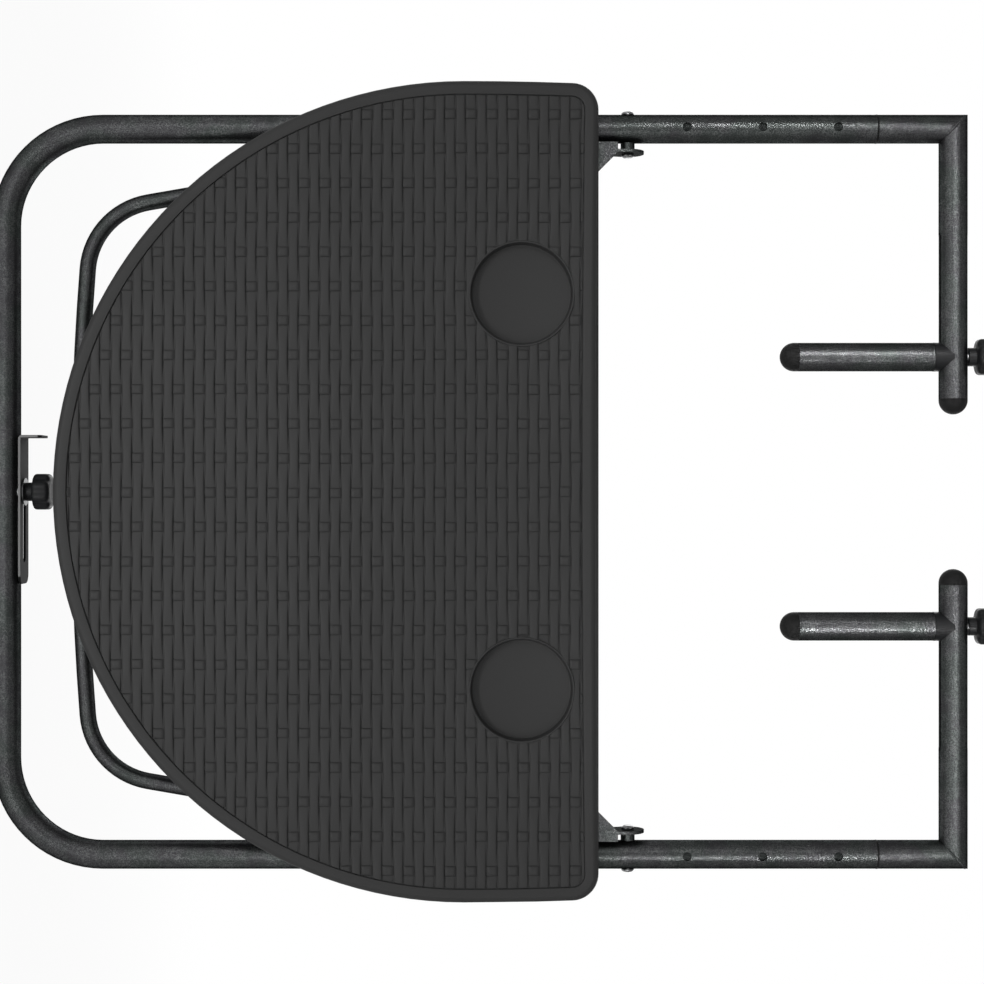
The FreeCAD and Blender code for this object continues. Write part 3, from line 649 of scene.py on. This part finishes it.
def make_weave():
    """The strips and bars of the woven field, cut to the rim and the cups."""
    loop = top_outline(RIM_WIDTH + WEAVE_GAP)
    outline = prism("weave_outline", *([(x, y, z) for x, z in loop] for y in WEAVE_CUT_Y))
    cups = cup_plugs(CUP_R + CUP_LIP)
    strip_section = section("strip_section", STRIP_WIDTH, ROUND_TOP)
    bar_section = section("bar_section", BAR_WIDTH, CROWNED_TOP)
    across = Matrix(((1, 0, 0), (0, 0, -1), (0, 1, 0))).to_euler()
    upward = Matrix(((0, -1, 0), (0, 0, -1), (1, 0, 0))).to_euler()
    shared = {"Outline": outline, "Cups": cups, "Drift": WEAVE_DRIFT * MM, "Seed": WEAVE_SEED,
              "Finish": finishes["top_plastic"]}
    strips = woven_ridges("woven_strips", across).grow(
        "weave_strips", Section=strip_section, Start=-330 * MM, End=330 * MM, Stations=221,
        Rows=STRIP_ROWS, Pitch=STRIP_PITCH * MM, First=STRIP_FIRST_Z * MM,
        Wave_Pitch=BAR_PITCH * MM, Wave_First=STRIP_WAVE_SHIFT * MM + BAR_PITCH * MM,
        Low=-0.05 * MM, High=2.2 * MM, Steepness=1.65, **shared)
    bars = woven_ridges("woven_bars", upward).grow(
        "weave_bars", Section=bar_section, Start=-700 * MM, End=-270 * MM, Stations=386,
        Rows=BAR_ROWS, Pitch=BAR_PITCH * MM, First=-BAR_FIRST_X * MM,
        Wave_Pitch=STRIP_PITCH * MM, Wave_First=STRIP_FIRST_Z * MM,
        Low=0.2 * MM, High=1.9 * MM, Steepness=0.55, **shared)
    for ridges in (strips, bars):
        settle(ridges, "tabletop", "top_plastic")
    for helper in (outline, cups, strip_section, bar_section):
        bpy.data.objects.remove(helper)


make_weave()


# Raised rim and cup recesses of the tabletop

# How far in each loop of the rim lies, and its depth
RIM_SWEEP = [(1.0, FIELD_Y), (1.65, -33.62), (2.4, -34.14), (3.2, -34.56), (3.95, -34.86),
             (4.45, -34.98), (4.9, TOP_FRONT_Y), (10.35, TOP_FRONT_Y), (10.72, -34.9),
             (10.93, -34.68), (RIM_WIDTH, -34.3), (RIM_WIDTH, FIELD_Y)]
CUP_LIP_Y = -33.6
CUP_LINER = [(0, 0.12), (37.6, 0.12), (38.2, 0.2), (38.65, 0.45), (38.95, 0.9), (39.1, 1.5),
             (39.75, 7.9), (39.85, 8.35), (40.1, 8.75), (40.5, 8.95), (40.9, 9.0), (41.25, 8.85),
             (41.5, 8.5), (41.6, 8.0), (41.6, 7.0), (40.7, 7.0), (40.7, -0.6), (0, -0.6)]


def make_rim():
    """The raised rim, swept round the top's outline with its outer edge rounded over."""
    loops = [[(x, y, z) for x, z in top_outline(inset)] for inset, y in RIM_SWEEP]
    stand_for(loft("raised_rim", loops), "tabletop_rim")


def make_cups():
    """The shell with its cup lips lowered, and the rounded linings that take their place."""
    def lower_lip(vert):
        vert.co.y = max(vert.co.y, CUP_LIP_Y * MM)

    stand_for(keep("top_shell", skin_of("tabletop", lower_lip)), "tabletop")
    for name, side in SIDES.items():
        place = facing((side * CUP_X, CUP_FLOOR_Y, CUP_Z), (0, -1, 0))
        lining = lathe("cup_lining_" + name, CUP_LINER, CUP_STEPS, place)
        settle(lining, "tabletop", "top_plastic")


make_rim()
make_cups()


# Edges of the bought and cut pieces, eased as tumbling and paint leave them

EASES = {
    "frame_tube": 0.5, "hook_tube_left": 0.8, "hook_tube_right": 0.8, "hook_arm_left": 0.4,
    "hook_arm_right": 0.4, "hinge_bracket_left": 0.4, "hinge_bracket_right": 0.4,
    "clamp_plate": 0.4, "saddle_left": 0.4, "saddle_right": 0.4, "brace_catch_left": 0.6,
    "brace_catch_right": 0.6,
}
EASED_OVER_DEG = 30


def eased(node, ease):
    """Stands for a CAD node with its sharp edges rounded over by the given width."""
    piece = keep(node + "_eased", skin_of(node))
    rounding = piece.modifiers.new("rounding", "BEVEL")
    rounding.width = ease * MM
    rounding.segments = 2
    rounding.limit_method = "ANGLE"
    rounding.angle_limit = math.radians(EASED_OVER_DEG)
    rounding.harden_normals = True
    stand_for(applied(piece), node)


for node, ease in EASES.items():
    eased(node, ease)


# Hand knobs

KNOB_SEATS = {"arm_knob_left": (-107.5, 0, 23.1), "arm_knob_right": (107.5, 0, 23.1),
              "clamp_knob": (0, 0, -728.9)}
KNOB_STEPS = 96
KNOB_LOBES = 8
KNOB_FLUTE = 1.5
FLUTE_SHARPNESS = 1.3
KNOB_NECK_R = 7.4
KNOB_HEAD_R = 15.0
KNOB = [(0, 15.8), (4.03, 15.8), (4.03, 0), (6.9, 0), (7.25, 0.15), (7.4, 0.5), (7.4, 5.3),
        (7.6, 5.8), (8.1, 6.0), (9.6, 6.1), (12.0, 6.6), (13.8, 7.5), (14.7, 8.6), (15.0, 9.9),
        (15.0, 16.9), (14.8, 18.1), (14.2, 19.2), (13.1, 20.1), (11.6, 20.7), (9.6, 20.9),
        (8.2, 20.85), (7.4, 20.55), (6.6, 20.4), (0, 20.3)]


def lobes(turn, radius, height):
    """How far the flutes of a knob go in. They fade out towards its middle."""
    share = min(max((radius - KNOB_NECK_R) / (KNOB_HEAD_R - KNOB_NECK_R), 0), 1)
    return share * KNOB_FLUTE * (0.5 + 0.5 * math.cos(KNOB_LOBES * turn)) ** FLUTE_SHARPNESS


for node, seat in KNOB_SEATS.items():
    knob = lathe(node + "_fluted", KNOB, KNOB_STEPS, facing(seat, (0, 0, 1)), lobes)
    stand_for(knob, node)


# Screws, bolts and nuts

SCREW = [(0, -10.5), (2.4, -10.5), (2.4, 0), (4.3, 0), (4.5, 0.2), (4.5, 0.9), (4.3, 1.4),
         (3.8, 1.9), (3.0, 2.3), (1.8, 2.53), (0, 2.6)]
BOLT_HEAD = [(5.1, 0), (5.1, 0.75), (4.95, 1.1), (4.5, 1.6), (3.8, 2.05), (2.8, 2.38),
             (1.6, 2.5), (0, 2.5)]
CAP_NUT = [(0, -0.05), (3.05, -0.05), (3.05, 0), (4.9, 0), (5.1, 0.25), (5.1, 1.35), (4.5, 1.65),
           (4.3, 1.9), (3.9, 2.4), (3.1, 2.85), (1.9, 3.12), (0, 3.2)]
NUT_FLATS_HIGH = 1.6
NUT_FLATS_FROM_R = 4.0
SCREW_STEPS = 32
NUT_STEPS = 48
SCREW_CROSS = (2.3, 0.5)
SCREW_RECESS_HEIGHT = 2.2
BOLT_HEX = 4.0
BOLT_RECESS_HEIGHT = 2.0
CLEAR_OF_NUT = 9
# For each node, how deep its screws sit and where those on the right are
SCREW_ROWS = {
    "bracket_screws": (-10.5, [(262.0, -289.5), (252.0, -309.5), (262.0, -328.5)]),
    "catch_screws": (-10.0, [(99.5, -537.35), (140.5, -537.35)]),
}
# For each pair of bolts, their height and where the right one's nut sits
BOLT_ROWS = {"hinge": (-248.5, 269.15), "brace": (-370.0, 258.55)}
BOLT_SEAT_X = 300.95
BOLT_SHANK_R = 3.0
BOLT_REACH = 2.2


def hollow(name, corners, shrink, turn, height):
    """A tapered prism on (x, y) corners that cuts a driver's recess, centred at a height."""
    low = [(x * shrink, y * shrink, -1.0) for x, y in corners]
    high = [(x, y, 1.0) for x, y in corners]
    return prism(name, low, high, turn @ Matrix.Translation((0, 0, height * MM)))


def cross(reach, half):
    """The outline of a cross recess."""
    corners = []
    for turn in range(4):
        for x, y in ((reach, -half), (reach, half), (half, half)):
            for _ in range(turn):
                x, y = -y, x
            corners.append((x, y))
    return corners


def hexagon(across_flats):
    """The outline of a hexagon."""
    reach = across_flats / math.sqrt(3)
    return [(reach * math.cos(math.pi * at / 3), reach * math.sin(math.pi * at / 3))
            for at in range(6)]


def hex_flats(turn, radius, height):
    """Cuts the round of a nut back to six flats below its dome."""
    if height > NUT_FLATS_HIGH or radius < NUT_FLATS_FROM_R:
        return 0
    sector = turn % (math.pi / 3) - math.pi / 6
    return radius * (1 - math.cos(math.pi / 6) / math.cos(sector))


def fasteners():
    """Puts one fastener, with its recess cut, at every point and mirrors them in X."""
    it = Grower("fasteners", Body="object", Recess="object")
    cut = it.add("GeometryNodeMeshBoolean", {"operation": "DIFFERENCE", "solver": "MANIFOLD"}, {
        "Mesh 1": it.form("Body"), "Mesh 2": [it.form("Recess")]})
    placed = it.add("GeometryNodeInstanceOnPoints", None, {
        "Points": it.given("Geometry"), "Instance": cut})
    placed = it.add("GeometryNodeRealizeInstances", None, {"Geometry": placed})
    it.ends_in(it.both_sides(placed))
    return it


def make_fasteners():
    """All screws, bolts and nuts. The nuts' recess lies clear of them and cuts nothing."""
    it = fasteners()
    steel = finishes["bright_zinc"]
    back, out, inward = (facing((0, 0, 0), way) for way in ((0, 1, 0), (1, 0, 0), (-1, 0, 0)))
    screw_recess = hollow("cross_recess", cross(*SCREW_CROSS), 0.75, back, SCREW_RECESS_HEIGHT)
    bolt_recess = hollow("hex_recess", hexagon(BOLT_HEX), 0.98, out, BOLT_RECESS_HEIGHT)
    no_recess = hollow("no_recess", hexagon(0.2), 0.75, inward, CLEAR_OF_NUT)
    screw = lathe("screw", SCREW, SCREW_STEPS, back)
    nut = lathe("nut", CAP_NUT, NUT_STEPS, inward, hex_flats)
    helpers = [screw, nut, screw_recess, bolt_recess, no_recess]
    for node, (seat_y, places) in SCREW_ROWS.items():
        points = [Vector((x, seat_y, z)) * MM for x, z in places]
        screws = it.grow(node + "_crossed", points, Body=screw, Recess=screw_recess, Finish=steel)
        stand_for(screws, node)
    for row, (z, nut_x) in BOLT_ROWS.items():
        shank = BOLT_SEAT_X - nut_x + BOLT_REACH
        profile = [(0, -shank), (BOLT_SHANK_R, -shank), (BOLT_SHANK_R, 0)] + BOLT_HEAD
        bolt = lathe(row + "_bolt", profile, SCREW_STEPS, out)
        helpers.append(bolt)
        bolts = it.grow(row + "_bolts_hexed", [Vector((BOLT_SEAT_X, 0, z)) * MM],
                        Body=bolt, Recess=bolt_recess, Finish=steel)
        stand_for(bolts, row + "_bolts")
        nuts = it.grow(row + "_nuts_domed", [Vector((nut_x, 0, z)) * MM],
                       Body=nut, Recess=no_recess, Finish=steel)
        stand_for(nuts, row + "_nuts")
    for helper in helpers:
        bpy.data.objects.remove(helper)


make_fasteners()


# Weld beads on the mitres of the hooks

TUBE_R = 11.4
MITRE_X = 289.9
MITRE_Z = 10.6
BEAD_R = 1.25
BEAD_SUNK_ACROSS = 0.25
BEAD_SUNK_ALONG = 2.3
BEAD_RIPPLE = 0.32
BEAD_RIPPLES = 34.0
BEAD_STEPS = 240
BEAD_SIDES = 8
BEAD_CREASE_DEG = 70.0
BEAD_WANDER = 3.0
BEAD_WANDERS_PER_METRE = 260.0


def weld_bead():
    """A rippled bead round an ellipse. Its reach along the mitre is longer than across it."""
    it = Grower("weld_bead", Centre="vector", Turn="vector", Across="float", Along="float",
                Radius="float", Ripple="float", Ripples="float", Seed="float")
    ring = it.add("GeometryNodeCurvePrimitiveCircle", {"mode": "RADIUS"}, {
        "Resolution": BEAD_STEPS, "Radius": 1.0})
    place = it.add("GeometryNodeInputPosition")
    along, across = (it.split(place, axis) for axis in "XY")
    ring = it.add("GeometryNodeSetPosition", None, {
        "Geometry": ring,
        "Position": it.joined(along * it.given("Along"), across * it.given("Across"))})
    ring = it.add("GeometryNodeTransform", None, {
        "Geometry": ring, "Rotation": it.given("Turn"), "Translation": it.given("Centre")})
    wander = it.add("ShaderNodeTexNoise", {"noise_dimensions": "4D"}, {
        "Vector": place, "W": it.given("Seed"), "Scale": BEAD_WANDERS_PER_METRE,
        "Detail": 1.0}, "Fac")
    share = it.add("GeometryNodeSplineParameter", None, None, "Factor")
    wave = (share * it.given("Ripples") * (2 * math.pi)).cosine()
    uneven = wave * 0.5 + (wander - 0.5) * BEAD_WANDER
    swell = it.given("Radius") + it.given("Ripple") * uneven
    ring = it.add("GeometryNodeSetCurveRadius", None, {"Curve": ring, "Radius": swell})
    profile = it.add("GeometryNodeCurvePrimitiveCircle", {"mode": "RADIUS"}, {
        "Resolution": BEAD_SIDES, "Radius": 1.0})
    bead = it.add("GeometryNodeCurveToMesh", None, {
        "Curve": ring, "Profile Curve": profile, "Scale": swell})
    it.ends_in(bead, BEAD_CREASE_DEG)
    return it


def make_weld_beads():
    """The bead on the mitre of each hook."""
    it = weld_bead()
    for name, side in SIDES.items():
        bead = it.grow(
            "weld_bead_" + name, Centre=(side * MITRE_X * MM, 0, MITRE_Z * MM),
            Turn=(0, -side * math.radians(45), 0), Across=(TUBE_R - BEAD_SUNK_ACROSS) * MM,
            Along=(TUBE_R * math.sqrt(2) - BEAD_SUNK_ALONG) * MM, Radius=BEAD_R * MM,
            Ripple=BEAD_RIPPLE * MM, Ripples=BEAD_RIPPLES, Seed=3.0 + side,
            Finish=finishes["hammered_paint"])
        settle(bead, "hook_" + name, "hammered_paint")


make_weld_beads()


# Dark rubber rings in the mouths of the legs. The dark line they show under the hooks is painted
# shade for the shadow in the seam.

LEG_X = 289.5
MOUTH_STEPS = 64
SEAM_SHADE_RING = [(9.9, -50.9), (11.44, -50.9), (11.55, -50.8), (11.55, -49.5), (11.45, -49.36),
             (9.9, -49.36)]


def make_seam_shade_rings():
    """A dark ring, turned on the axis of each leg, that paints the shade in the seam."""
    turns = [Matrix.Rotation(2 * math.pi * step / MOUTH_STEPS, 4, "Z")
             for step in range(MOUTH_STEPS)]
    for name, side in SIDES.items():
        axis = Vector((side * LEG_X, 0, 0))
        loops = [[turn @ Vector((radius, 0, z)) + axis for turn in turns]
                 for radius, z in SEAM_SHADE_RING]
        # The black rubber ring paints the shadow line in the seam under the hook.
        settle(loft("mouth_lip_" + name, loops), "frame", "black_rubber")


make_seam_shade_rings()


# Camera, lamps and floor, in metres

CAMERA_X = 0.0002
CAMERA_Z = -0.3568
CAMERA_AWAY = 1.6
FILL = 0.42
FLOOR_Z = -0.7575
FLOOR_R = 8.0
FLOOR_FADES_FROM = 0.85
FLOOR_FADES_TO = 1.6


def look(obj, place, target, up=Vector((0, 0, 1))):
    """Puts an object at a place with its -Z towards a target."""
    back = (Vector(place) - Vector(target)).normalized()
    side = up.cross(back).normalized()
    columns = Matrix((side, back.cross(side), back)).transposed()
    obj.matrix_world = Matrix.Translation(Vector(place)) @ columns.to_4x4()


camera = bpy.data.objects.new("camera", bpy.data.cameras.new("camera"))
scene.collection.objects.link(camera)
camera.data.sensor_width = 36.0
camera.data.lens = 73.3
look(camera, (CAMERA_X, -CAMERA_AWAY, CAMERA_Z), (CAMERA_X, 0, CAMERA_Z), Vector((-1, 0, 0)))
scene.camera = camera


def softbox(name, place, target, width, height, glow, spread_deg):
    """A rectangular lamp whose face has the given glow, where 1 is white."""
    lamp = bpy.data.lights.new(name, "AREA")
    lamp.shape = "RECTANGLE"
    lamp.size = width
    lamp.size_y = height
    lamp.energy = glow * math.pi * width * height
    lamp.spread = math.radians(spread_deg)
    box = bpy.data.objects.new(name, lamp)
    scene.collection.objects.link(box)
    look(box, place, target)


for name, side in SIDES.items():
    softbox("softbox_" + name, (side * 0.80, -1.35, -0.50), (side * 0.20, 0, -0.42),
            width=0.72, height=1.3, glow=0.25, spread_deg=60)
    softbox("softbox_hook_" + name, (side * 0.76, -1.35, -0.05), (side * 0.12, 0, -0.06),
            width=0.25, height=0.3, glow=0.80, spread_deg=14)
    softbox("softbox_behind_" + name, (side * 0.9, 1.9, 0.2), (side * 0.1, 0, -0.36),
            width=0.9, height=1.2, glow=3.4, spread_deg=180)
softbox("softbox_above", (0, -1.35, 0.40), (0, 0, 0.01),
        width=1.2, height=0.22, glow=0.28, spread_deg=28)
softbox("softbox_below", (0, -1.35, -1.40), (0, 0, -0.64),
        width=1.2, height=0.22, glow=2.5, spread_deg=56)


def make_world():
    """White to the camera, and a soft fill. Reflections see white behind the object only."""
    world = bpy.data.worlds.new("studio")
    world.use_nodes = True
    scene.world = world
    it = Tree(world.node_tree)
    it.tree.nodes.clear()
    heading = it.split(it.add("ShaderNodeTexCoord", output="Generated"), 1)
    backdrop = it.step(heading, 0.5, 0.9)
    white = it.ray_is("Camera") + it.ray_is("Glossy") * backdrop
    light = it.add("ShaderNodeBackground", None, {
        "Color": (1, 1, 1, 1), "Strength": FILL + (1 - FILL) * white})
    it.add("ShaderNodeOutputWorld", None, {"Surface": light})


make_world()


def make_floor():
    """A pale disc under the frame. Far from the object it fades into the white background."""
    form = bmesh.new()
    bmesh.ops.create_circle(form, cap_ends=True, segments=96, radius=FLOOR_R)
    form.transform(Matrix.Translation((0, 0, FLOOR_Z)))
    floor = keep("floor", freed("floor", form))
    it = Finish("floor_white")
    away = it.add("ShaderNodeVectorMath", {"operation": "LENGTH"}, {0: it.place}, "Value")
    far = it.step(away, FLOOR_FADES_FROM, FLOOR_FADES_TO)
    paint = it.add("ShaderNodeBsdfDiffuse", None, {"Color": (0.86, 0.86, 0.86, 1)}, "BSDF")
    white = it.add("ShaderNodeEmission", None, {"Color": (1, 1, 1, 1), "Strength": 1.0})
    lit = it.ray_is("Camera") + it.ray_is("Glossy") * (0.3 + 0.7 * far)
    share = lit * (0.92 + 0.08 * far)
    surface = it.add("ShaderNodeMixShader", None, {0: share, 1: paint, 2: white})
    # The lamps below the floor shine through it. It still takes the object's shadow.
    clear = it.add("ShaderNodeBsdfTransparent", output="BSDF")
    surface = it.add("ShaderNodeMixShader", None, {0: it.ray_is("Shadow"), 1: surface, 2: clear})
    it.add("ShaderNodeOutputMaterial", None, {"Surface": surface})
    floor.data.materials.append(it.material)


make_floor()

scene.view_settings.view_transform = "Standard"
